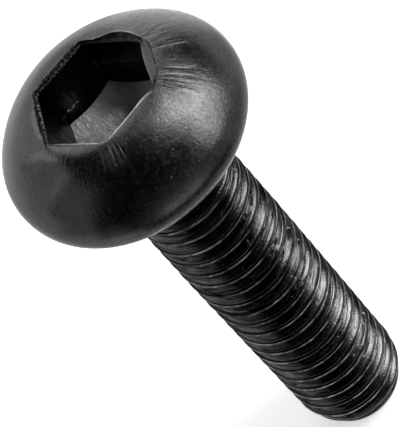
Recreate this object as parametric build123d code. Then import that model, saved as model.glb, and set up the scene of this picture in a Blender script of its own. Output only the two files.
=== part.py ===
"""Button head screw with a forged hexagon socket, M5 x 0.8 x 20, one piece of cold-headed steel.

Millimetres. The origin is the centre of the bearing face under the head, +Z runs up through the head,
and the shank hangs below it. The shank is left plain at the diameter over its thread crests.
"""

from build123d import *
import math
import os

# Shank: rolled thread, stated by its crests, with a chamfered point and a sheared flat end
thread_crest_diameter = 4.75
shank_length = 20.0
point_length = 1.15
point_end_diameter = 3.70
point_shoulder_radius = 0.9
point_end_radius = 0.15
under_head_radius = 0.25

# Head: a low dome that turns over in a rounded rim and grows flatter towards the socket
head_diameter = 9.9
head_height = 3.38
rim_height = 0.98
rim_radius = 1.2
rim_to_dome_angle = 33.56
dome_radius = 4.7
crown_blend_radius = 0.25

# Socket: pressed by a hexagonal punch whose sides draw in and whose nose is turned to a cone
socket_mouth_flats = 4.30
socket_floor_flats = 3.74
socket_wall_depth = 2.12
socket_nose_angle = 126.0
mouth_chamfer_diameter = 5.06
mouth_chamfer_angle = 120.0
mouth_edge_radius = 0.06

shank_radius = thread_crest_diameter / 2
head_radius = head_diameter / 2

# Both arcs share one normal where they meet, so the dome rolls onto the rim without a step.
rim_centre_radius = head_radius - rim_radius
between_centres = dome_radius - rim_radius
dome_centre_radius = rim_centre_radius - between_centres * math.cos(math.radians(rim_to_dome_angle))
dome_centre_height = rim_height - between_centres * math.sin(math.radians(rim_to_dome_angle))
dome_end_angle = math.degrees(math.asin((head_height - dome_centre_height) / dome_radius))
crown_flat_radius = dome_centre_radius + dome_radius * math.cos(math.radians(dome_end_angle))
bearing_face_radius = rim_centre_radius + math.sqrt(rim_radius**2 - rim_height**2)
rim_start_angle = -math.degrees(math.asin(rim_height / rim_radius))


def turned_blank():
    """Head and shank as one turned form, from a half outline spun about Z."""
    with BuildPart() as blank:
        with BuildSketch(Plane.XZ) as half_outline:
            with BuildLine():
                point_end = (point_end_diameter / 2, -shank_length)
                point_shoulder = (shank_radius, point_length - shank_length)
                shank_top = (shank_radius, -under_head_radius)
                fillet_centre = (shank_radius + under_head_radius, -under_head_radius)
                Polyline((0, 0), (0, -shank_length), point_end, point_shoulder, shank_top)
                CenterArc(fillet_centre, under_head_radius, 180, -90)
                Line((shank_radius + under_head_radius, 0), (bearing_face_radius, 0))
                rim_centre = (rim_centre_radius, rim_height)
                CenterArc(rim_centre, rim_radius, rim_start_angle, rim_to_dome_angle - rim_start_angle)
                dome_centre = (dome_centre_radius, dome_centre_height)
                dome_sweep = dome_end_angle - rim_to_dome_angle
                CenterArc(dome_centre, dome_radius, rim_to_dome_angle, dome_sweep)
                Polyline((crown_flat_radius, head_height), (0, head_height), (0, 0))
            make_face()
            corners = half_outline.vertices()
            fillet(corner_at(corners, crown_flat_radius, head_height), crown_blend_radius)
            corners = half_outline.vertices()
            fillet(corner_at(corners, *point_shoulder), point_shoulder_radius)
            corners = half_outline.vertices()
            fillet(corner_at(corners, *point_end), point_end_radius)
        revolve(axis=Axis.Z)
    return blank.part


def corner_at(corners, x, y):
    """The corner of the flat outline that lies nearest to a given place."""
    return min(corners, key=lambda corner: math.hypot(corner.X - x, corner.Y - y))


def punch():
    """The tool form that the socket takes: six drawn-in sides, cut off below by a turned conical nose."""
    draw_in = (socket_mouth_flats - socket_floor_flats) / socket_wall_depth
    nose_corner_radius = socket_floor_flats / 2 / math.cos(math.radians(30))
    nose_slope = math.tan(math.radians(90 - socket_nose_angle / 2))
    nose_corner_height = head_height - socket_wall_depth
    nose_tip_height = nose_corner_height - nose_corner_radius * nose_slope
    socket_tip_flats = socket_mouth_flats - draw_in * (head_height - nose_tip_height)
    body_radius = socket_mouth_flats
    body_edge_height = nose_tip_height + body_radius * nose_slope
    with BuildPart() as tool:
        with BuildSketch(Plane.XY.offset(head_height)):
            RegularPolygon(socket_mouth_flats / 2, 6, major_radius=False)
        with BuildSketch(Plane.XY.offset(nose_tip_height)):
            RegularPolygon(socket_tip_flats / 2, 6, major_radius=False)
        loft(ruled=True)
        with BuildSketch(Plane.XZ):
            with BuildLine():
                Polyline(
                    (0, nose_tip_height),
                    (body_radius, body_edge_height),
                    (body_radius, head_height),
                    (0, head_height),
                    close=True,
                )
            make_face()
        revolve(axis=Axis.Z, mode=Mode.INTERSECT)
    return tool.part


def mouth_chamfer():
    """A shallow cone that breaks the mouth: full width over each flat and nothing at the six corners."""
    depth = mouth_chamfer_diameter / 2 / math.tan(math.radians(mouth_chamfer_angle / 2))
    height = head_height - depth / 2
    return Pos(0, 0, height) * Cone(0, mouth_chamfer_diameter / 2, depth)


def screw():
    """The finished screw: the turned blank, less the punched socket and its chamfer."""
    body = turned_blank() - punch() - mouth_chamfer()
    crown_circles = body.edges().filter_by(GeomType.CIRCLE).group_by(Axis.Z)[-1]
    mouth_edge = crown_circles.sort_by(SortBy.RADIUS)[0]
    return body.fillet(mouth_edge_radius, [mouth_edge])


os.makedirs("parts", exist_ok=True)
button_head_screw = screw()
export_step(button_head_screw, "parts/button_head_screw.step")
print("volume mm3", round(button_head_screw.volume, 2))
print("flat of the crown begins at radius", round(crown_flat_radius, 3))
print("bearing face reaches radius", round(bearing_face_radius, 3))
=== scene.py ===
import bmesh
import bpy
import math
from mathutils import Matrix, Vector, noise


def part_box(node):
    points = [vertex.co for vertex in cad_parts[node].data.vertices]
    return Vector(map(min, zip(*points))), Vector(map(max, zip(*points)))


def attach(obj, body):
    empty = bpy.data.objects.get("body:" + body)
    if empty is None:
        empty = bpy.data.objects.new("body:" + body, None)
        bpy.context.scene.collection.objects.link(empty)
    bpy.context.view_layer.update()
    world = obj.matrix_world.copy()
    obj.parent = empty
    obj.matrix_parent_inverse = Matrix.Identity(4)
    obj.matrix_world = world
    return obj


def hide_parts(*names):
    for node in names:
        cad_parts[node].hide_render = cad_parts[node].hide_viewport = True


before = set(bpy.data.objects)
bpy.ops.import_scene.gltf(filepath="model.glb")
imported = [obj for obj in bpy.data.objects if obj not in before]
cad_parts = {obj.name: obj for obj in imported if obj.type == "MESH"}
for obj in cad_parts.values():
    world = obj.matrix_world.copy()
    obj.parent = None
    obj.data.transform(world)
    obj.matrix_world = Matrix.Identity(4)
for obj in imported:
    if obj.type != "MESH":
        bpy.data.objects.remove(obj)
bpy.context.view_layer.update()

# ---------------------------------------------------------------------------------------------
# Shank. Low-carbon wire is squeezed between two flat dies that roll an M5 x 0.8 right-hand thread
# on it. The flanks come up between the die ridges, and their tops close to a crest with a thin seam.
# The mesh is drawn in millimetres and turned into metres when the whole screw is closed.
# ---------------------------------------------------------------------------------------------
mm = 0.001
low_corner, high_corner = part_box("button_head_screw")
shank_length = -low_corner.z / mm

thread_pitch = 0.8
thread_crest_radius = 2.375
thread_depth = 0.47
crest_flat = 0.08
crest_edge_rounding = 0.012
root_rounding = 0.13
flank_cuts = 3
shortest_flank = 0.2
steps_per_turn = 144
weld_distance = 0.002

# The two lips of each crest meet in a seam that is nearly closed at the point and gapes by the head.
seam_width = 0.03
seam_depth = 0.015
seam_gape_start = -8.0
seam_gape = 0.045
seam_gape_change = 0.06
seam_gape_closeness = 0.9

# One crest passes this height on the side that azimuth zero faces, and the others are a pitch apart.
crest_height_at_azimuth_zero = -3.341
turns_above_it = 5
first_turn_height = crest_height_at_azimuth_zero + turns_above_it * thread_pitch
turns = math.ceil((shank_length + first_turn_height) / thread_pitch) + 1

# The dies lift off before the head: the crests stay low and flat there and then run out.
neck_narrowing = 0.042
flat_crest_blend = 0.015
narrowing_length = 8.0
neck_radius = 2.2
run_out_start = -0.95
run_out_end = -0.35
under_head_radius = 0.25

# The wire end is chamfered before rolling, so the last turns climb down a blunt cone.
point_end_radius = 1.85
point_taper = 0.457
point_blend = 0.25
point_edge_radius = 1.754
point_edge_taper = 1.5
point_edge_blend = 0.1

# The head is struck a little off the line of the shank.
shank_offset = Vector((-0.161, -0.060, 0.0))

# Marks of the rolling dies: long scores that follow the turns, and knocks from the tumbling barrel.
score_depth = 0.011
score_closeness = 7.0
knock_depth = 0.09
knock_closeness = 2.3
knock_rarity = 0.42

# The finishes of the screw, in the order in which the mesh numbers them.
head_finish, thread_finish, mouth_finish, side_finish, floor_finish = range(5)

screw = bmesh.new()
worn_layer = screw.verts.layers.float.new("worn")


def fade(value, start, end):
    """0 before start, 1 after end and a smooth climb between them."""
    share = min(max((value - start) / (end - start), 0.0), 1.0)
    return share * share * (3.0 - 2.0 * share)


def smaller(first, second, blend):
    """The smaller of two lengths, with the corner where they cross rounded over the blend length."""
    overlap = max(blend - abs(first - second), 0.0) / blend
    return min(first, second) - overlap * overlap * blend * 0.25


def thread_outline(mesh):
    """One pitch of the thread's outline, from the middle of a flank over the crest to the next one."""
    root_corner = thread_crest_radius - thread_depth - root_rounding * 0.25
    flank_middle = thread_crest_radius - thread_depth * 0.5
    seam_edge = seam_width / 2
    outline = [
        (flank_middle, -thread_pitch / 4),
        (thread_crest_radius, -crest_flat / 2),
        (thread_crest_radius, -seam_edge),
        (thread_crest_radius - seam_depth, 0.0),
        (thread_crest_radius, seam_edge),
        (thread_crest_radius, crest_flat / 2),
        (root_corner, thread_pitch / 2),
        (flank_middle, thread_pitch * 3 / 4),
    ]
    corners = [mesh.verts.new((reach, 0.0, first_turn_height + height)) for reach, height in outline]
    for lower, upper in zip(corners, corners[1:]):
        mesh.edges.new((lower, upper))
    for corner, rounding, segments in (
        (corners[1], crest_edge_rounding, 2),
        (corners[5], crest_edge_rounding, 2),
        (corners[6], root_rounding, 4),
    ):
        bmesh.ops.bevel(
            mesh,
            geom=[corner],
            offset=rounding,
            segments=segments,
            affect="VERTICES",
            profile=0.5,
            material=-1,
        )
    flanks = [edge for edge in mesh.edges if edge.calc_length() > shortest_flank]
    bmesh.ops.subdivide_edges(mesh, edges=flanks, cuts=flank_cuts)


def height_over_crest(place):
    """How far a place on the thread lies above the middle of its crest, within half a pitch."""
    turn_share = (place.z - first_turn_height) / thread_pitch - math.atan2(place.y, place.x) / math.tau
    return ((turn_share + 0.5) % 1.0 - 0.5) * thread_pitch


def shape_shank(vertex):
    """Lays one vertex of the even thread on the real shank: neck, run-out, blunt point, die marks."""
    place = vertex.co.copy()
    towards_head = min(max((place.z + narrowing_length) / narrowing_length, 0.0), 1.0)
    filled_reach = thread_crest_radius * (1.0 - neck_narrowing * towards_head)
    reach = smaller(math.hypot(place.x, place.y), filled_reach, flat_crest_blend)
    if abs(height_over_crest(place)) < seam_width / 4:
        gape = seam_gape + seam_gape_change * noise.noise(place * seam_gape_closeness)
        reach -= gape * fade(place.z, seam_gape_start, 0.0)
    reach -= score_depth * (1.0 + noise.noise((place.x, place.y, place.z * score_closeness)))
    reach -= knock_depth * max(noise.noise(place * knock_closeness + shank_offset) - knock_rarity, 0.0)
    reach += (neck_radius - reach) * fade(place.z, run_out_start, run_out_end)
    cone_reach = point_end_radius + point_taper * (place.z + shank_length)
    reach = smaller(reach, cone_reach, point_blend)
    edge_reach = point_edge_radius + point_edge_taper * (place.z + shank_length)
    reach = smaller(reach, edge_reach, point_edge_blend)
    flat = Vector((place.x, place.y, 0.0)).normalized() * reach
    vertex.co = (flat.x, flat.y, place.z)


thread_outline(screw)
bmesh.ops.spin(
    screw,
    geom=screw.verts[:] + screw.edges[:],
    cent=(0.0, 0.0, 0.0),
    axis=(0.0, 0.0, 1.0),
    dvec=(0.0, 0.0, thread_pitch / steps_per_turn),
    angle=math.tau,
    steps=steps_per_turn,
)

# A map of the thread as if it were unrolled, in millimetres: along the helix, and up from the crest.
turn_length = math.tau * thread_crest_radius
unrolled = screw.loops.layers.uv.new("unrolled")
for face in screw.faces:
    middle = face.calc_center_median()
    middle_turn = math.atan2(middle.y, middle.x) % math.tau
    for corner in face.loops:
        place = corner.vert.co
        turn = middle_turn + math.remainder(math.atan2(place.y, place.x) - middle_turn, math.tau)
        crest_height = first_turn_height + thread_pitch * turn / math.tau
        corner[unrolled].uv = (turn * thread_crest_radius, place.z - crest_height)
first_turn = screw.verts[:] + screw.edges[:] + screw.faces[:]
for turn in range(1, turns):
    copied = bmesh.ops.duplicate(screw, geom=first_turn)["geom"]
    copied_vertices = [item for item in copied if isinstance(item, bmesh.types.BMVert)]
    bmesh.ops.translate(screw, verts=copied_vertices, vec=(0.0, 0.0, -turn * thread_pitch))
    for face in (item for item in copied if isinstance(item, bmesh.types.BMFace)):
        for corner in face.loops:
            corner[unrolled].uv.x -= turn * turn_length
bmesh.ops.remove_doubles(screw, verts=screw.verts, dist=weld_distance)
for vertex in screw.verts:
    shape_shank(vertex)
for cut_height, cut_side in ((-under_head_radius, 1.0), (-shank_length, -1.0)):
    bmesh.ops.bisect_plane(
        screw,
        geom=screw.verts[:] + screw.edges[:] + screw.faces[:],
        plane_co=(0.0, 0.0, cut_height),
        plane_no=(0.0, 0.0, cut_side),
        clear_outer=True,
    )


def open_loop(mesh, height):
    """The open edges of the mesh that lie at one height."""
    return [
        edge
        for edge in mesh.edges
        if edge.is_boundary and all(abs(corner.co.z - height) < weld_distance / 2 for corner in edge.verts)
    ]


def grow_loop(mesh, loop, move):
    """Extrudes an open loop of edges, moves each new vertex and gives back the new open loop."""
    grown = bmesh.ops.extrude_edge_only(mesh, edges=loop)["geom"]
    for vertex in (item for item in grown if isinstance(item, bmesh.types.BMVert)):
        vertex.co = move(vertex.co)
    return [item for item in grown if isinstance(item, bmesh.types.BMEdge) and item.is_boundary]


def close_loop(mesh, loop, centre):
    """Draws an open loop in to one vertex, which closes the surface there."""
    last = bmesh.ops.extrude_edge_only(mesh, edges=loop)["geom"]
    vertices = [item for item in last if isinstance(item, bmesh.types.BMVert)]
    bmesh.ops.pointmerge(mesh, verts=vertices, merge_co=centre)


def reach_to(place, reach, height):
    """A place at the same azimuth, at another reach from the axis and another height."""
    flat = Vector((place.x, place.y, 0.0)).normalized() * reach
    return Vector((flat.x, flat.y, height))


# The sheared end of the wire is flat, and its edge is bruised round by the tumbling barrel.
end_loop = open_loop(screw, -shank_length)
for end_reach in (1.5, 1.0, 0.5):
    end_loop = grow_loop(screw, end_loop, lambda place: reach_to(place, end_reach, -shank_length))
close_loop(screw, end_loop, (0.0, 0.0, -shank_length))

# The neck flares into the head in a small fillet.
neck_loop = open_loop(screw, -under_head_radius)
fillet_steps = 4
for step in range(1, fillet_steps + 1):
    swing = math.pi / 2 * step / fillet_steps
    flare = neck_radius + under_head_radius * (1.0 - math.cos(swing))
    flare_height = under_head_radius * (math.sin(swing) - 1.0)
    neck_loop = grow_loop(screw, neck_loop, lambda place: reach_to(place, flare, flare_height))
bmesh.ops.translate(screw, verts=screw.verts, vec=shank_offset)
for face in screw.faces:
    face.material_index = thread_finish

# ---------------------------------------------------------------------------------------------
# Head. The end of the wire is upset cold in a cup-shaped die: a low dome that turns over in a
# rounded rim, with a bearing face under it. The dome grows flatter in the middle.
# ---------------------------------------------------------------------------------------------
head_radius = high_corner.x / mm
head_height = high_corner.z / mm
rim_height = 0.98
rim_radius = 1.2
dome_radius = 4.7
rim_to_dome_angle = 33.56
crown_edge_radius = 3.1
bearing_ring_radius = 3.1
dome_steps = 16
rim_steps = 24
steps_round = 192

rim_centre = (head_radius - rim_radius, rim_height)
between_centres = dome_radius - rim_radius
dome_centre = (
    rim_centre[0] - between_centres * math.cos(math.radians(rim_to_dome_angle)),
    rim_centre[1] - between_centres * math.sin(math.radians(rim_to_dome_angle)),
)
crown_edge_angle = math.degrees(math.acos((crown_edge_radius - dome_centre[0]) / dome_radius))
crown_edge_height = dome_centre[1] + dome_radius * math.sin(math.radians(crown_edge_angle))
crown_edge_slope = 1.0 / math.tan(math.radians(crown_edge_angle))
rim_end_angle = -math.degrees(math.asin(rim_height / rim_radius))


def draw_line(mesh, start, reach, height):
    """Carries the outline on to a place in a straight line."""
    end = bmesh.ops.extrude_vert_indiv(mesh, verts=[start])["verts"][0]
    end.co = (reach, 0.0, height)
    return end


def draw_arc(mesh, start, centre, degrees, steps):
    """Carries the outline on along an arc round a centre, clockwise."""
    arc = bmesh.ops.spin(
        mesh,
        geom=[start],
        cent=(centre[0], 0.0, centre[1]),
        axis=(0.0, 1.0, 0.0),
        angle=math.radians(degrees),
        steps=steps,
    )
    return next(item for item in arc["geom_last"] if isinstance(item, bmesh.types.BMVert))


shank_vertices = set(screw.verts)
pen = screw.verts.new((crown_edge_radius, 0.0, crown_edge_height))
pen = draw_arc(screw, pen, dome_centre, crown_edge_angle - rim_to_dome_angle, dome_steps)
pen = draw_arc(screw, pen, rim_centre, rim_to_dome_angle - rim_end_angle, rim_steps)
pen = draw_line(screw, pen, bearing_ring_radius, 0.0)
outline_vertices = [vertex for vertex in screw.verts if vertex not in shank_vertices]
outline_edges = [edge for edge in screw.edges if edge.is_wire]
bmesh.ops.spin(
    screw,
    geom=outline_vertices + outline_edges,
    cent=(0.0, 0.0, 0.0),
    axis=(0.0, 0.0, 1.0),
    angle=math.tau,
    steps=steps_round,
    use_merge=True,
)
bmesh.ops.bridge_loops(screw, edges=open_loop(screw, 0.0))

# ---------------------------------------------------------------------------------------------
# Socket. A hexagonal punch is driven into the cold crown: six sides that draw in on the way
# down and a turned conical floor. The mouth is then broken by a countersink that stood off centre,
# so it cut wide on one side and barely touched the others.
# ---------------------------------------------------------------------------------------------
mouth_flats = 4.30
floor_flats = 3.74
wall_depth = 2.12
nose_angle = 126.0
corner_crowding = 0.55
crown_sink = 0.008
mouth_line_drop = 0.006
edge_rounding = 0.055
punch_step_share = 0.42
punch_step_spread = 0.02
punch_step = 0.02

countersink_radius = 2.50
countersink_blend = 0.05
countersink_offset = 0.15
countersink_azimuth = math.radians(160.0)
least_break = 0.0825
narrow_break = 0.12
wide_break = 0.42
wide_break_from = (math.radians(105.0), math.radians(130.0))
wide_break_to = (math.radians(205.0), math.radians(230.0))

# The punch dragged one corner of the mouth a little way round.
dragged_corner = math.radians(120.0)
corner_drag = math.radians(4.5)

# The corners of the mouth from azimuth zero onwards, and the sides that follow them: the rounding of
# each corner, how far each side's top lies below the crown, and how far that top leans back.
corner_roundings = (0.12, 0.45, 0.12, 0.10, 0.10, 0.10)
break_depths = (0.05, 0.015, 0.20, 0.15, 0.13, 0.12)
leans = (0.0, 0.0, 0.0, 0.13, 0.0, 0.0)
lean_depth = 0.9
depth_change = math.radians(14.0)

# How much lighter (above zero) or darker (below) the black is worn, side by side: on the edge over the
# side, on the break behind it, and along the break's outer line.
edge_wears = (1.1, 1.8, 0.2, -0.1, 0.1, 0.5)
break_wears = (0.12, 0.45, 0.02, -0.15, -0.03, -0.06)
outer_wears = (0.0, -0.2, -0.22, 0.9, 0.0, -0.1)

# Rings of the mesh, each as a share of its stretch: over the crown to the mouth, down the sides from
# the edge to the foot, and over the floor from the foot to the axis.
crown_shares = (0.17, 0.34, 0.5, 0.66, 0.82, 0.95, 1.0)
side_shares = (0.03, 0.2, 0.4, 0.44, 0.6, 0.8, 0.96, 1.0)
floor_shares = (0.97, 0.8, 0.6, 0.4, 0.2, 0.08)
sharp_edge_angle = math.radians(32.0)

draw_in = (mouth_flats - floor_flats) / wall_depth
nose_slope = math.tan(math.radians(90.0 - nose_angle / 2))
floor_corner_height = head_height - wall_depth
floor_corner_reach = floor_flats / 2 / math.cos(math.pi / 6)
nose_tip_height = floor_corner_height - floor_corner_reach * nose_slope
mouth_line_height = head_height - crown_sink - mouth_line_drop


def hexagon_reach(azimuth, flats):
    """Distance from the axis to a side of the hexagon, whose rounded corners start at azimuth zero."""
    past = azimuth % math.tau - dragged_corner
    azimuth -= corner_drag * fade(past, -math.pi / 3, 0.0) * (1.0 - fade(past, 0.0, math.pi / 3))
    from_corner = abs((azimuth + math.pi / 6) % (math.pi / 3) - math.pi / 6)
    rounding = corner_roundings[round(azimuth / (math.pi / 3)) % 6]
    rounding_centre = (flats / 2 - rounding) / math.cos(math.pi / 6)
    aside = rounding_centre * math.sin(from_corner)
    if aside > rounding / 2:
        return flats / 2 / math.cos(math.pi / 6 - from_corner)
    return rounding_centre * math.cos(from_corner) + math.sqrt(rounding**2 - aside**2)


def countersink_reach(azimuth):
    """Distance from the axis to the countersink's circle, whose centre is off the axis."""
    turn = azimuth - countersink_azimuth
    across = countersink_offset * math.sin(turn)
    return countersink_offset * math.cos(turn) + math.sqrt(countersink_radius**2 - across**2)


def break_reach(azimuth):
    """Distance from the axis to the outer line of the broken mouth."""
    turn = azimuth % math.tau
    widening = fade(turn, *wide_break_from) * (1.0 - fade(turn, *wide_break_to))
    width = narrow_break + (wide_break - narrow_break) * widening
    widened = hexagon_reach(azimuth, mouth_flats + 2 * width)
    least_reach = hexagon_reach(azimuth, mouth_flats) + least_break
    return max(smaller(widened, countersink_reach(azimuth), countersink_blend), least_reach)


def by_side(azimuth, amounts):
    """The amount of the side that an azimuth looks at, with a smooth change past each corner."""
    side_turn = azimuth % math.tau / (math.pi / 3)
    side = int(side_turn)
    past = (side_turn - side) * math.pi / 3
    before, after = amounts[side - 1], amounts[(side + 1) % 6]
    amount = amounts[side]
    amount += (before - amount) * (1.0 - fade(past, -depth_change, depth_change))
    amount += (after - amount) * fade(past, math.pi / 3 - depth_change, math.pi / 3 + depth_change)
    return amount


def azimuth_of(place):
    """The direction of a place round the axis."""
    return math.atan2(place.y, place.x)


def crown_place(place, share):
    """A place on the crown, a share of the way in to the mouth, drawn towards the nearest corner."""
    azimuth = azimuth_of(place)
    azimuth -= corner_crowding / len(crown_shares) / 6 * math.sin(6 * azimuth)
    width = crown_edge_radius - break_reach(azimuth) - edge_rounding
    inwards = width * share
    sag = (crown_edge_height + crown_edge_slope * width - head_height + crown_sink) / width**2
    height = crown_edge_height + crown_edge_slope * inwards - sag * inwards**2
    reach = crown_edge_radius - inwards
    return Vector((reach * math.cos(azimuth), reach * math.sin(azimuth), height))


def wall_reach(azimuth, height):
    """Distance from the axis to the side of the socket at a height."""
    reach = hexagon_reach(azimuth, mouth_flats - draw_in * (head_height - height))
    wall_top = head_height - by_side(azimuth, break_depths)
    wall_foot = nose_tip_height + hexagon_reach(azimuth, floor_flats) * nose_slope
    share = (wall_top - height) / (wall_top - wall_foot)
    reach += by_side(azimuth, leans) * (1.0 - fade(head_height - height, 0.0, lean_depth))
    step_start = punch_step_share - punch_step_spread
    step_end = punch_step_share + punch_step_spread
    return reach - punch_step * fade(share, step_start, step_end) * (1.0 - share)


def mouth_place(place, share):
    """A place on the rounded edge, from the break (share 0) to the side (share 1), or on the break."""
    azimuth = azimuth_of(place)
    swing = math.pi / 2 * max(share, 0.0)
    height = head_height - by_side(azimuth, break_depths) - edge_rounding * (1.0 - math.cos(swing))
    reach = wall_reach(azimuth, height) + edge_rounding * (1.0 - math.sin(swing))
    before_share = max(-share, 0.0)
    height += (mouth_line_height - height) * before_share
    reach += (break_reach(azimuth) - reach) * before_share
    return reach_to(place, reach, height)


def side_place(place, share):
    """A place on the side of the socket, a share of the way down from the mouth to the floor."""
    azimuth = azimuth_of(place)
    top = head_height - by_side(azimuth, break_depths) - edge_rounding
    bottom = nose_tip_height + hexagon_reach(azimuth, floor_flats) * nose_slope
    height = top + (bottom - top) * share
    return reach_to(place, wall_reach(azimuth, height), height)


def floor_place(place, share):
    """A place on the conical floor, at a share of the way from the axis to the foot of the side."""
    reach = hexagon_reach(azimuth_of(place), floor_flats) * share
    return reach_to(place, reach, nose_tip_height + reach * nose_slope)


def new_faces(mesh, known, finish):
    """Gives a finish to the faces that were added since the last count, and counts them."""
    for face in mesh.faces:
        if face not in known:
            face.material_index = finish
            known.add(face)


def mark_worn(loop, wears, share):
    """Notes on a loop of edges how far the black has worn off each side."""
    for edge in loop:
        for vertex in edge.verts:
            vertex[worn_layer] = share * by_side(azimuth_of(vertex.co), wears)


counted_faces = set(screw.faces)
socket_loop = open_loop(screw, crown_edge_height)
for share in crown_shares:
    socket_loop = grow_loop(screw, socket_loop, lambda place: crown_place(place, share))
new_faces(screw, counted_faces, head_finish)
socket_loop = grow_loop(
    screw,
    socket_loop,
    lambda place: reach_to(place, break_reach(azimuth_of(place)), mouth_line_height),
)
mark_worn(socket_loop, outer_wears, 1.0)
for share, wears, worn_share in (
    (-0.88, break_wears, 1.0),
    (-0.25, break_wears, 1.0),
    (-0.04, edge_wears, 0.8),
    (0.25, edge_wears, 1.0),
    (0.5, edge_wears, 1.0),
    (0.75, edge_wears, 0.8),
    (1.0, edge_wears, 0.1),
):
    socket_loop = grow_loop(screw, socket_loop, lambda place: mouth_place(place, share))
    mark_worn(socket_loop, wears, worn_share)
new_faces(screw, counted_faces, mouth_finish)
for share in side_shares:
    socket_loop = grow_loop(screw, socket_loop, lambda place: side_place(place, share))
new_faces(screw, counted_faces, side_finish)
for share in floor_shares:
    socket_loop = grow_loop(screw, socket_loop, lambda place: floor_place(place, share))
close_loop(screw, socket_loop, (0.0, 0.0, nose_tip_height))
new_faces(screw, counted_faces, floor_finish)

bmesh.ops.recalc_face_normals(screw, faces=screw.faces)
bmesh.ops.scale(screw, verts=screw.verts, vec=(mm, mm, mm))
for face in screw.faces:
    face.smooth = True
screw_mesh = bpy.data.meshes.new("screw")
screw.to_mesh(screw_mesh)
screw.free()
screw_mesh.set_sharp_from_angle(angle=sharp_edge_angle)
screw_body = bpy.data.objects.new("screw_body", screw_mesh)
bpy.context.scene.collection.objects.link(screw_body)
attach(screw_body, "root")
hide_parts("button_head_screw")

# ---------------------------------------------------------------------------------------------
# Black oxide. The clean steel is boiled black in a salt bath and dipped in oil. The satin skin that
# this leaves takes every mark of the steel under it, so all finishes share its grain and its marks.
# ---------------------------------------------------------------------------------------------
oxide_grey = 0.09
oxide_roughness = 0.2


def place_node(tree, kind, settings, links):
    """Adds a node, gives its inputs a value or a link each, and gives back its first output."""
    node = tree.nodes.new(kind)
    for name, value in settings.items():
        setattr(node, name, value)
    for name, value in links.items():
        if isinstance(value, bpy.types.NodeSocket):
            tree.links.new(value, node.inputs[name])
        else:
            node.inputs[name].default_value = value
    return node.outputs[0]


def maths(tree, operation, *terms):
    """One sum on numbers."""
    return place_node(tree, "ShaderNodeMath", {"operation": operation}, dict(enumerate(terms)))


def vector_maths(tree, operation, terms):
    """One sum on places or directions."""
    return place_node(tree, "ShaderNodeVectorMath", {"operation": operation}, terms)


def product(tree, first, *others):
    """The product of two or more numbers."""
    for other in others:
        first = maths(tree, "MULTIPLY", first, other)
    return first


def swell(tree, amount, strength):
    """One plus a share of an amount."""
    return maths(tree, "MULTIPLY_ADD", amount, strength, 1.0)


def field(tree, position, scale, detail=2.0):
    """Soft noise, mostly from 0.3 to 0.7."""
    links = {"Vector": position, "Scale": scale, "Detail": detail}
    return place_node(tree, "ShaderNodeTexNoise", {}, links)


def climb(tree, value, start, end, low=0.0, high=1.0):
    """A smooth climb from low to high while a value goes from start to end."""
    links = {"Value": value, "From Min": start, "From Max": end, "To Min": low, "To Max": high}
    return place_node(tree, "ShaderNodeMapRange", {"interpolation_type": "SMOOTHSTEP"}, links)


def distance_from(tree, value, middle):
    """How far a number lies from a middle value, to either side."""
    return maths(tree, "ABSOLUTE", maths(tree, "SUBTRACT", value, middle))


def parted(tree, place):
    """A place taken apart into X, Y and Z."""
    return place_node(tree, "ShaderNodeSeparateXYZ", {}, {"Vector": place}).node.outputs


def drawn_out(tree, place, scale, turn=0.0):
    """A place for a pattern that is longer one way: scaled along each axis, then turned about Z."""
    links = {"Vector": place, "Scale": scale, "Rotation": (0.0, 0.0, math.radians(turn))}
    return place_node(tree, "ShaderNodeMapping", {}, links)


def towards(tree, position, azimuth):
    """How far a place lies from the axis in the direction of an azimuth."""
    direction = (math.cos(math.radians(azimuth)), math.sin(math.radians(azimuth)), 0.0)
    return vector_maths(tree, "DOT_PRODUCT", {0: position, 1: direction}).node.outputs["Value"]


def open_group(name, inputs, outputs):
    """A shared node group, with the sockets of its inside."""
    group = bpy.data.node_groups.new(name, "ShaderNodeTree")
    for socket_name, socket_kind in inputs:
        group.interface.new_socket(name=socket_name, in_out="INPUT", socket_type=socket_kind)
    for socket_name in outputs:
        group.interface.new_socket(name=socket_name, in_out="OUTPUT", socket_type="NodeSocketFloat")
    given = group.nodes.new("NodeGroupInput").outputs
    result = group.nodes.new("NodeGroupOutput").inputs
    return group, given, result


def use_group(tree, group, links):
    """Adds a shared group to a material and gives back its outputs."""
    return place_node(tree, "ShaderNodeGroup", {"node_tree": group}, links).node.outputs


# Grain of the pickled steel: clouds in its tone, a fine grit, and specks where the black is rubbed off.
steel_grain, given, result = open_group(
    "steel_grain",
    (("Position", "NodeSocketVector"), ("Density", "NodeSocketFloat")),
    ("Tone", "Relief", "Specks"),
)
clouds = field(steel_grain, given["Position"], 0.9, 3.0)
grit = field(steel_grain, given["Position"], 13.0, 3.0)
dots = field(steel_grain, given["Position"], 16.0, 1.0)
hollows = climb(steel_grain, field(steel_grain, given["Position"], 6.0, 1.0), 0.64, 0.74)
specks = product(steel_grain, climb(steel_grain, dots, 0.68, 0.78), given["Density"])
grit_depth = maths(steel_grain, "MULTIPLY_ADD", given["Density"], 0.0065, 0.0015)
grit_height = product(steel_grain, grit, grit_depth)
hollow_depth = product(steel_grain, hollows, given["Density"], -0.004)
tone = maths(steel_grain, "ADD", product(steel_grain, clouds, 0.7), product(steel_grain, grit, 1.3))
steel_grain.links.new(tone, result["Tone"])
steel_grain.links.new(maths(steel_grain, "ADD", grit_height, hollow_depth), result["Relief"])
steel_grain.links.new(specks, result["Specks"])

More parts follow.
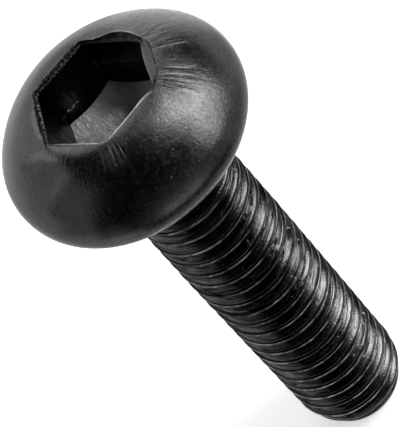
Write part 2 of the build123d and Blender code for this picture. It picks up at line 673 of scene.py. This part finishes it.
# Marks of metal that was dragged out from the socket: fine streaks that run straight off the axis.
spokes_round = 22.0
spoke_change = (0.9, 0.9, 0.9)
drag_marks, given, result = open_group("drag_marks", (("Position", "NodeSocketVector"),), ("Streaks",))
flat_place = vector_maths(drag_marks, "MULTIPLY", {0: given["Position"], 1: (1.0, 1.0, 0.0)})
direction = vector_maths(drag_marks, "NORMALIZE", {0: flat_place})
on_ring = vector_maths(drag_marks, "SCALE", {0: direction, "Scale": spokes_round})
along_spoke = vector_maths(drag_marks, "MULTIPLY_ADD", {0: given["Position"], 1: spoke_change, 2: on_ring})
spokes = climb(drag_marks, field(drag_marks, along_spoke, 1.0, 3.0), 0.3, 0.7)
drag_marks.links.new(spokes, result["Streaks"])

# A soft round patch with a ragged edge, for rubbed and bruised places.
patch_mask, given, result = open_group(
    "patch_mask",
    (("Position", "NodeSocketVector"), ("Centre", "NodeSocketVector"), ("Radius", "NodeSocketFloat")),
    ("Mask",),
)
away = vector_maths(patch_mask, "DISTANCE", {0: given["Position"], 1: given["Centre"]}).node
ragged = maths(patch_mask, "MULTIPLY_ADD", field(patch_mask, given["Position"], 5.0, 3.0), 0.5, 0.75)
reach_out = product(patch_mask, away.outputs["Value"], ragged)
share_out = maths(patch_mask, "DIVIDE", reach_out, given["Radius"])
patch_mask.links.new(climb(patch_mask, share_out, 0.3, 1.0, 1.0, 0.0), result["Mask"])


def patch(tree, position, centre, radius):
    """The mask of one soft round patch."""
    links = {"Position": position, "Centre": centre, "Radius": radius}
    return use_group(tree, patch_mask, links)["Mask"]


def open_finish(name):
    """A black oxide material: its node tree, its shader and the place on the screw in millimetres."""
    finish = bpy.data.materials.new(name)
    finish.use_nodes = True
    tree = finish.node_tree
    shader = tree.nodes["Principled BSDF"]
    shader.inputs["Metallic"].default_value = 1.0
    coordinates = tree.nodes.new("ShaderNodeTexCoord").outputs["Object"]
    position = vector_maths(tree, "SCALE", {0: coordinates, "Scale": 1.0 / mm})
    screw_mesh.materials.append(finish)
    return tree, shader, position


def close_finish(tree, shader, grey, roughness, height):
    """Joins a tone, a roughness and a relief in millimetres to the shader."""
    links = {"Height": height, "Distance": mm, "Strength": 1.0}
    normal = place_node(tree, "ShaderNodeBump", {}, links)
    tree.links.new(grey, shader.inputs["Base Color"])
    tree.links.new(roughness, shader.inputs["Roughness"])
    tree.links.new(normal, shader.inputs["Normal"])


# Head: smooth on the side that slid down the feed rail, and pitted, specked and streaked on the other.
pitted_azimuth = 136.0
drag_marks_at = (((-2.9, 0.35, 3.25), 1.4), ((-2.25, 2.4, 3.05), 1.3), ((1.55, 2.75, 3.13), 0.8))
crease_azimuth = 159.5
crease_start = 2.7
crease_end = 4.0
rub_place = (3.4, 3.6, 1.2)
rub_radius = 0.7

tree, shader, position = open_finish("black_head")
density = climb(tree, towards(tree, position, pitted_azimuth), -1.6, 0.4, 0.1, 1.0)
grain = use_group(tree, steel_grain, {"Position": position, "Density": density})
streaks = use_group(tree, drag_marks, {"Position": position})["Streaks"]
streaked = 0.1
for drag_place, drag_radius in drag_marks_at:
    streaked = maths(tree, "MAXIMUM", patch(tree, position, drag_place, drag_radius), streaked)
streak_height = product(tree, streaks, streaked, 0.014)
along_crease = towards(tree, position, crease_azimuth)
off_crease = maths(tree, "ABSOLUTE", towards(tree, position, crease_azimuth + 90.0))
crease = product(
    tree,
    climb(tree, off_crease, 0.015, 0.04, 1.0, 0.0),
    climb(tree, along_crease, crease_start - 0.2, crease_start),
    climb(tree, along_crease, crease_end - 0.5, crease_end, 1.0, 0.0),
)
mottle = product(tree, climb(tree, field(tree, position, 5.0, 3.0), 0.3, 0.75), density)
rubbed = patch(tree, position, rub_place, rub_radius)
grey = product(
    tree,
    grain["Tone"],
    swell(tree, grain["Specks"], 0.8),
    maths(tree, "MULTIPLY_ADD", streaked, maths(tree, "SUBTRACT", streaks, 0.45), 1.0),
    swell(tree, rubbed, 0.5),
    swell(tree, crease, 0.8),
    oxide_grey * 0.88,
)
roughness = maths(tree, "MULTIPLY_ADD", density, 0.06, oxide_roughness - 0.05)
for mark, roughening in (
    (product(tree, streaks, streaked), 0.1),
    (grain["Specks"], 0.3),
    (mottle, 0.1),
    (rubbed, 0.12),
):
    roughness = maths(tree, "MULTIPLY_ADD", mark, roughening, roughness)
height = maths(tree, "ADD", grain["Relief"], streak_height)
height = maths(tree, "MULTIPLY_ADD", crease, 0.012, height)
close_finish(tree, shader, grey, roughness, height)

# Thread: the dies leave long scores and folds along the turns and a lapped fold beside each crest, and the
# crests rub bright. Shade is painted into the grey: down each flank, at the roots, in the crest seams and
# in a thin line under each crest's lip. Next to the head, a painted shade on one side and a painted
# highlight on another shift the lamp's highlight.
groove_edge_tint = (0.5, 0.5, 0.5, 1.0)
# Height above each crest of the lapped fold, which is also a painted shadow line under the crest's lip.
lap_and_shadow_height = 0.085
# Azimuths of the painted shade and the painted highlight next to the head, and the heights where they fade
# in.
painted_shade_azimuth = 120.0
painted_highlight_azimuth = 178.0
painted_light_from = -15.0
painted_light_to = -4.0
tree, shader, position = open_finish("black_thread")
grain = use_group(tree, steel_grain, {"Position": position, "Density": 0.9})
unrolled_place = place_node(tree, "ShaderNodeUVMap", {"uv_map": "unrolled"}, {})
scores = field(tree, drawn_out(tree, unrolled_place, (0.6, 12.0, 1.0)), 1.0, 4.0)
up_from_crest = parted(tree, unrolled_place)["Y"]
from_crest = maths(tree, "ABSOLUTE", up_from_crest)
# Painted shade: the seam in each crest, the roots and a thin shadow line under each crest's lip are
# darkened in the grey; that line also sinks the relief as the lapped fold.
seam = climb(tree, from_crest, 0.012, 0.03, 1.0, 0.0)
crest = climb(tree, from_crest, 0.035, 0.06, 1.0, 0.0)
root = climb(tree, from_crest, 0.30, 0.36)
lap_and_lip_shadow = climb(tree, distance_from(tree, up_from_crest, lap_and_shadow_height), 0.01, 0.03, 1.0, 0.0)
# Next to the head: painted shade on one side and a painted highlight on another.
by_the_head = climb(tree, parted(tree, position)["Z"], painted_light_from, painted_light_to)
painted_shade_by_head = product(tree, by_the_head, climb(tree, towards(tree, position, painted_shade_azimuth), 1.2, 2.1))
painted_highlight_by_head = product(tree, by_the_head, climb(tree, towards(tree, position, painted_highlight_azimuth), 1.6, 2.3))
broken = climb(tree, field(tree, position, 2.2, 3.0), 0.4, 0.6)
crest_wear = product(tree, crest, broken)
long_waves = field(tree, drawn_out(tree, unrolled_place, (0.13, 4.5, 1.0)), 1.0, 2.0)
fold_line = climb(tree, distance_from(tree, long_waves, 0.5), 0.008, 0.022, 1.0, 0.0)
fold = product(tree, fold_line, climb(tree, field(tree, position, 1.3, 2.0), 0.4, 0.5))
# Painted shade: each flank darkens towards the root.
groove_shade = climb(tree, from_crest, 0.1, 0.33, 1.0, 0.45)
grey = product(
    tree,
    grain["Tone"],
    swell(tree, grain["Specks"], 0.8),
    climb(tree, scores, 0.35, 0.65, 0.5, 1.6),
    groove_shade,
    swell(tree, painted_shade_by_head, -0.45),
    swell(tree, painted_highlight_by_head, 0.8),
    swell(tree, crest_wear, 2.8),
    swell(tree, root, -0.85),
    swell(tree, seam, -0.5),
    swell(tree, lap_and_lip_shadow, -0.75),
    swell(tree, fold, -0.8),
    oxide_grey * 1.2,
)
roughness = maths(tree, "MULTIPLY_ADD", scores, 0.2, 0.06)
roughness = maths(tree, "MULTIPLY_ADD", grain["Specks"], 0.25, roughness)
height = maths(tree, "ADD", grain["Relief"], product(tree, scores, 0.03))
height = maths(tree, "ADD", height, product(tree, maths(tree, "MAXIMUM", fold, lap_and_lip_shadow), -0.02))
shader.inputs["Specular Tint"].default_value = groove_edge_tint
close_finish(tree, shader, grey, roughness, height)

# Mouth of the socket: coarse cut metal, oily and jagged on one side, with edges worn to bright steel.
dry_azimuth = 125.0
tree, shader, position = open_finish("black_mouth")
grain = use_group(tree, steel_grain, {"Position": position, "Density": 1.0})
wear_node = place_node(tree, "ShaderNodeAttribute", {"attribute_name": "worn"}, {}).node
broken = climb(tree, field(tree, position, 3.0, 3.0), 0.36, 0.62, 0.35, 1.0)
worn = product(tree, wear_node.outputs["Fac"], broken)
dry = climb(tree, towards(tree, position, dry_azimuth), -1.8, 0.6)
jagged = climb(tree, field(tree, position, 13.0, 3.0), 0.45, 0.66, 0.1, 0.8)
oily_jags = product(tree, jagged, maths(tree, "SUBTRACT", 1.0, dry))
grey = product(
    tree,
    grain["Tone"],
    swell(tree, grain["Specks"], 2.5),
    maths(tree, "MULTIPLY_ADD", dry, 0.9, oily_jags),
    swell(tree, worn, 5.0),
    oxide_grey,
)
roughness = maths(tree, "MULTIPLY_ADD", grain["Specks"], 0.15, oxide_roughness + 0.08)
height = maths(tree, "MULTIPLY_ADD", oily_jags, 0.015, grain["Relief"])
close_finish(tree, shader, grey, roughness, height)

# Sides of the socket: burnished by the punch, with painted shade that makes them look almost black: their
# grey is a third of the oxide's, and darker still towards one side. In one corner the punch chattered: a
# row of short strokes there is painted as a bright glint, and the rubbed flat above them is painted
# lighter, as if it caught the light.
dash_place = (0.8, -1.93, 1.7)
dash_radius = 0.6
facet_place = (0.7, -1.94, 1.95)
facet_radius = 0.75
step_line_height = 2.3
step_side_azimuth = 210.0
# Painted shade deepens towards this azimuth.
shaded_side_azimuth = 330.0
tree, shader, position = open_finish("black_socket_side")
grain = use_group(tree, steel_grain, {"Position": position, "Density": 0.8})
near_row = patch(tree, position, dash_place, dash_radius)
rubbed_and_lit_facet = patch(tree, position, facet_place, facet_radius)
place_height = parted(tree, position)["Z"]
off_row = distance_from(tree, place_height, dash_place[2])
dots = climb(tree, field(tree, position, 11.0, 1.0), 0.5, 0.57)
# A painted glint: a row of bright strokes.
painted_glint_dashes = product(tree, climb(tree, off_row, 0.03, 0.07, 1.0, 0.0), near_row, dots)
off_step = distance_from(tree, place_height, step_line_height)
on_step_side = climb(tree, towards(tree, position, step_side_azimuth), 1.4, 1.8)
step_line = product(tree, climb(tree, off_step, 0.015, 0.04, 1.0, 0.0), on_step_side)
draw_lines = climb(tree, field(tree, drawn_out(tree, position, (5.0, 5.0, 0.8)), 1.0, 3.0), 0.3, 0.7)
# Painted light: a painted highlight on the rubbed flat, a painted glint on the strokes, and painted shade
# that keeps the grey a third of the oxide's and darker towards one side.
grey = product(
    tree,
    grain["Tone"],
    swell(tree, grain["Specks"], 2.5),
    swell(tree, draw_lines, 0.4),
    swell(tree, product(tree, rubbed_and_lit_facet, draw_lines), 4.5),
    swell(tree, painted_glint_dashes, 50.0),
    swell(tree, step_line, 1.5),
    climb(tree, towards(tree, position, shaded_side_azimuth), 1.2, 1.8, 1.0, 0.12),
    oxide_grey * 0.3,
)
roughness = maths(tree, "MULTIPLY_ADD", maths(tree, "MAXIMUM", rubbed_and_lit_facet, painted_glint_dashes), 0.3, 0.24)
height = maths(tree, "ADD", grain["Relief"], product(tree, draw_lines, 0.015))
close_finish(tree, shader, grey, roughness, height)

# Floor of the socket: flattened by the turned nose of the punch, which leaves a dull face, streaked near
# its tip and with scuffs across one side. Light is painted into its grey: far lighter than the oxide,
# lighter still on the side that faces the key lamp and on the opposite side, and darkest across the
# middle.
# Painted light grows towards this azimuth, together with the scuffs.
scuffed_lit_azimuth = 350.0
scuff_turn = 35.0
streaks_place = (-0.03, -0.8, 0.56)
streaks_radius = 0.7
tree, shader, position = open_finish("black_socket_floor")
grain = use_group(tree, steel_grain, {"Position": position, "Density": 1.0})
streaks = use_group(tree, drag_marks, {"Position": position})["Streaks"]
across_floor = towards(tree, position, scuffed_lit_azimuth)
scuffed_and_lit = climb(tree, across_floor, 0.2, 1.3)
near_tip = patch(tree, position, streaks_place, streaks_radius)
crosswise = drawn_out(tree, position, (14.0, 4.0, 1.0), scuff_turn)
scuffs = climb(tree, field(tree, crosswise, 1.0, 3.0), 0.35, 0.65)
# Painted light: the grey is raised well above the oxide's, lighter on the side facing the key lamp and on
# the opposite side, darkest across the middle; the scuffs are real marks.
grey = product(
    tree,
    grain["Tone"],
    swell(tree, grain["Specks"], 1.0),
    swell(tree, product(tree, streaks, near_tip), 1.6),
    swell(tree, product(tree, scuffs, scuffed_and_lit), 0.8),
    swell(tree, scuffed_and_lit, 0.4),
    climb(tree, across_floor, -1.0, 0.0, 0.25, 0.13),
)
roughness = maths(tree, "MULTIPLY_ADD", scuffed_and_lit, 0.1, 0.48)
height = maths(tree, "ADD", grain["Relief"], product(tree, streaks, near_tip, 0.015))
height = maths(tree, "ADD", height, product(tree, scuffs, scuffed_and_lit, 0.02))
close_finish(tree, shader, grey, roughness, height)

# ---------------------------------------------------------------------------------------------
# Studio. The screw stands on a sweep of white paper. One bright soft box lights it from the right of
# the camera, dim panels fill the other sides, and the camera has a long lens.
# ---------------------------------------------------------------------------------------------
floor_height = low_corner.z
sweep_radius = 0.6
sweep_climb = 0.105
sweep_flare = 1.25
paper_white = (0.8, 0.8, 0.8, 1.0)
paper_glow = 0.6

sweep = bmesh.new()
bmesh.ops.create_circle(sweep, cap_ends=True, cap_tris=False, segments=96, radius=sweep_radius)
sweep_rim = [edge for edge in sweep.edges if edge.is_boundary]
raised = bmesh.ops.extrude_edge_only(sweep, edges=sweep_rim)["geom"]
raised_vertices = [item for item in raised if isinstance(item, bmesh.types.BMVert)]
bmesh.ops.scale(sweep, verts=raised_vertices, vec=(sweep_flare, sweep_flare, 1.0))
bmesh.ops.translate(sweep, verts=raised_vertices, vec=(0.0, 0.0, sweep_climb))
bmesh.ops.translate(sweep, verts=sweep.verts, vec=(0.0, 0.0, floor_height))
bmesh.ops.recalc_face_normals(sweep, faces=sweep.faces)
sweep_mesh = bpy.data.meshes.new("sweep")
sweep.to_mesh(sweep_mesh)
sweep.free()
floor = bpy.data.objects.new("sweep", sweep_mesh)
bpy.context.scene.collection.objects.link(floor)

paper = bpy.data.materials.new("white_paper")
paper.use_nodes = True
tree = paper.node_tree
tree.nodes.clear()
path = tree.nodes.new("ShaderNodeLightPath").outputs
seen = maths(tree, "MAXIMUM", path["Is Camera Ray"], path["Is Glossy Ray"])
seen = maths(tree, "MAXIMUM", seen, path["Is Transmission Ray"])
matt = place_node(tree, "ShaderNodeBsdfDiffuse", {}, {"Color": paper_white})
glow = place_node(tree, "ShaderNodeEmission", {}, {"Strength": product(tree, seen, paper_glow)})
surface = place_node(tree, "ShaderNodeAddShader", {}, {0: matt, 1: glow})
output = tree.nodes.new("ShaderNodeOutputMaterial")
tree.links.new(surface, output.inputs["Surface"])
sweep_mesh.materials.append(paper)


lamp_distance = 1.0


def soft_box(name, azimuth, elevation, width, height, brightness):
    """A lamp aimed at the screw from an azimuth and an elevation, sized in degrees as the screw sees it.

    Its face has a brightness of 1 where it looks as light as white paper.
    """
    lamp = bpy.data.lights.new(name, "AREA")
    lamp.shape = "RECTANGLE"
    lamp.size = 2.0 * lamp_distance * math.tan(math.radians(width / 2))
    lamp.size_y = 2.0 * lamp_distance * math.tan(math.radians(height / 2))
    lamp.energy = brightness * math.pi * lamp.size * lamp.size_y
    box = bpy.data.objects.new(name, lamp)
    turn, lift = math.radians(azimuth), math.radians(elevation)
    away = Vector((math.cos(turn) * math.cos(lift), math.sin(turn) * math.cos(lift), math.sin(lift)))
    box.location = away * lamp_distance
    box.rotation_euler = away.to_track_quat("Z", "Y").to_euler()
    bpy.context.scene.collection.objects.link(box)


soft_box("key_core", 155.5, 49.0, 24.0, 33.0, 4.5)
soft_box("key_low", 146.0, 26.0, 43.0, 23.0, 3.6)
soft_box("key_wide", 157.0, 42.0, 37.0, 42.0, 1.1)
soft_box("key_glow", 165.0, 52.0, 66.0, 56.0, 0.25)
soft_box("left_far_panel", -84.0, 26.0, 54.0, 52.0, 0.92)
soft_box("left_middle_panel", -41.0, 23.0, 30.0, 48.0, 0.6)
soft_box("left_near_panel", -9.0, 22.0, 34.0, 44.0, 0.36)
soft_box("back_low_panel", 232.0, 18.0, 30.0, 44.0, 1.5)
soft_box("back_high_panel", 245.0, 55.0, 50.0, 30.0, 0.9)
soft_box("top_panel", 190.0, 78.0, 22.0, 20.0, 1.1)
soft_box("front_panel", 82.0, 12.0, 60.0, 24.0, 0.22)

# Sheets of card lie on the sweep and show only in the steel, which mirrors their greys among the white:
# they are painted shade in the reflections, standing in for the darker, shaded parts of the room.
card_lift = 0.0003
card_fold = 0.585
card_rise = 0.15
card_roughness = 0.9
card_steps = 48


def lay_card(name, first_azimuth, last_azimuth, near, far, grey):
    """A card between two azimuths and two distances. One that reaches the fold climbs the sweep's edge."""
    card = bmesh.new()
    pen = card.verts.new((near, 0.0, floor_height + card_lift))
    pen = draw_line(card, pen, far, floor_height + card_lift)
    if far == card_fold:
        draw_line(card, pen, far + card_rise, floor_height + sweep_climb)
    bmesh.ops.rotate(
        card,
        verts=card.verts,
        cent=(0.0, 0.0, 0.0),
        matrix=Matrix.Rotation(math.radians(first_azimuth), 3, "Z"),
    )
    bmesh.ops.spin(
        card,
        geom=card.verts[:] + card.edges[:],
        cent=(0.0, 0.0, 0.0),
        axis=(0.0, 0.0, 1.0),
        angle=math.radians(last_azimuth - first_azimuth),
        steps=card_steps,
    )
    card_mesh = bpy.data.meshes.new(name)
    card.to_mesh(card_mesh)
    card.free()
    sheet = bpy.data.objects.new(name, card_mesh)
    sheet.visible_camera = False
    sheet.visible_diffuse = False
    sheet.visible_transmission = False
    sheet.visible_shadow = False
    bpy.context.scene.collection.objects.link(sheet)
    card_paint = bpy.data.materials.new(name)
    card_paint.use_nodes = True
    card_shader = card_paint.node_tree.nodes["Principled BSDF"]
    card_shader.inputs["Base Color"].default_value = (grey, grey, grey, 1.0)
    card_shader.inputs["Roughness"].default_value = card_roughness
    card_mesh.materials.append(card_paint)


lay_card("key_side_card", 120.0, 178.0, 0.036, card_fold, 0.44)
lay_card("key_foot_card", 135.0, 162.0, 0.006, 0.036, 0.5)
lay_card("far_foot_card", 162.0, 178.0, 0.006, 0.036, 0.82)
lay_card("far_side_card", 178.0, 216.0, 0.006, card_fold, 0.82)
lay_card("left_card", 248.0, 345.0, 0.08, card_fold, 0.92)
lay_card("left_end_card", 345.0, 370.0, 0.08, card_fold, 0.62)
lay_card("left_foot_card", 248.0, 370.0, 0.006, 0.08, 0.76)
lay_card("foot_card", 10.0, 135.0, 0.006, 0.018, 0.55)
lay_card("corner_card", 10.0, 38.0, 0.018, 0.036, 0.75)
lay_card("dark_card", 38.0, 135.0, 0.018, 0.036, 0.05)
lay_card("side_card", 10.0, 58.0, 0.036, card_fold, 0.08)
lay_card("front_card", 58.0, 100.0, 0.036, 0.1, 0.95)
lay_card("front_far_card", 58.0, 100.0, 0.1, card_fold, 0.5)
lay_card("near_card", 100.0, 120.0, 0.036, card_fold, 0.18)

room = bpy.data.worlds.new("room")
room.use_nodes = True
room_light = room.node_tree.nodes["Background"]
room_light.inputs["Color"].default_value = (1.0, 1.0, 1.0, 1.0)
room_light.inputs["Strength"].default_value = 0.01
bpy.context.scene.world = room

camera_azimuth = math.radians(79.85)
camera_elevation = math.radians(47.53)
camera_roll = math.radians(-42.0)
camera_distance = 0.09727
camera_aim = Vector((0.000047, 0.0, -0.00528))
camera_data = bpy.data.cameras.new("camera")
camera_data.sensor_width = 36.0
camera_data.lens = 213.9
camera_data.clip_start = 0.001
camera = bpy.data.objects.new("camera", camera_data)
towards_camera = Vector(
    (
        math.cos(camera_azimuth) * math.cos(camera_elevation),
        math.sin(camera_azimuth) * math.cos(camera_elevation),
        math.sin(camera_elevation),
    )
)
facing = towards_camera.to_track_quat("Z", "Y").to_matrix().to_4x4()
camera.matrix_world = (
    Matrix.Translation(camera_aim + towards_camera * camera_distance)
    @ facing
    @ Matrix.Rotation(camera_roll, 4, "Z")
)
bpy.context.scene.collection.objects.link(camera)
bpy.context.scene.camera = camera
bpy.context.scene.view_settings.view_transform = "Standard"
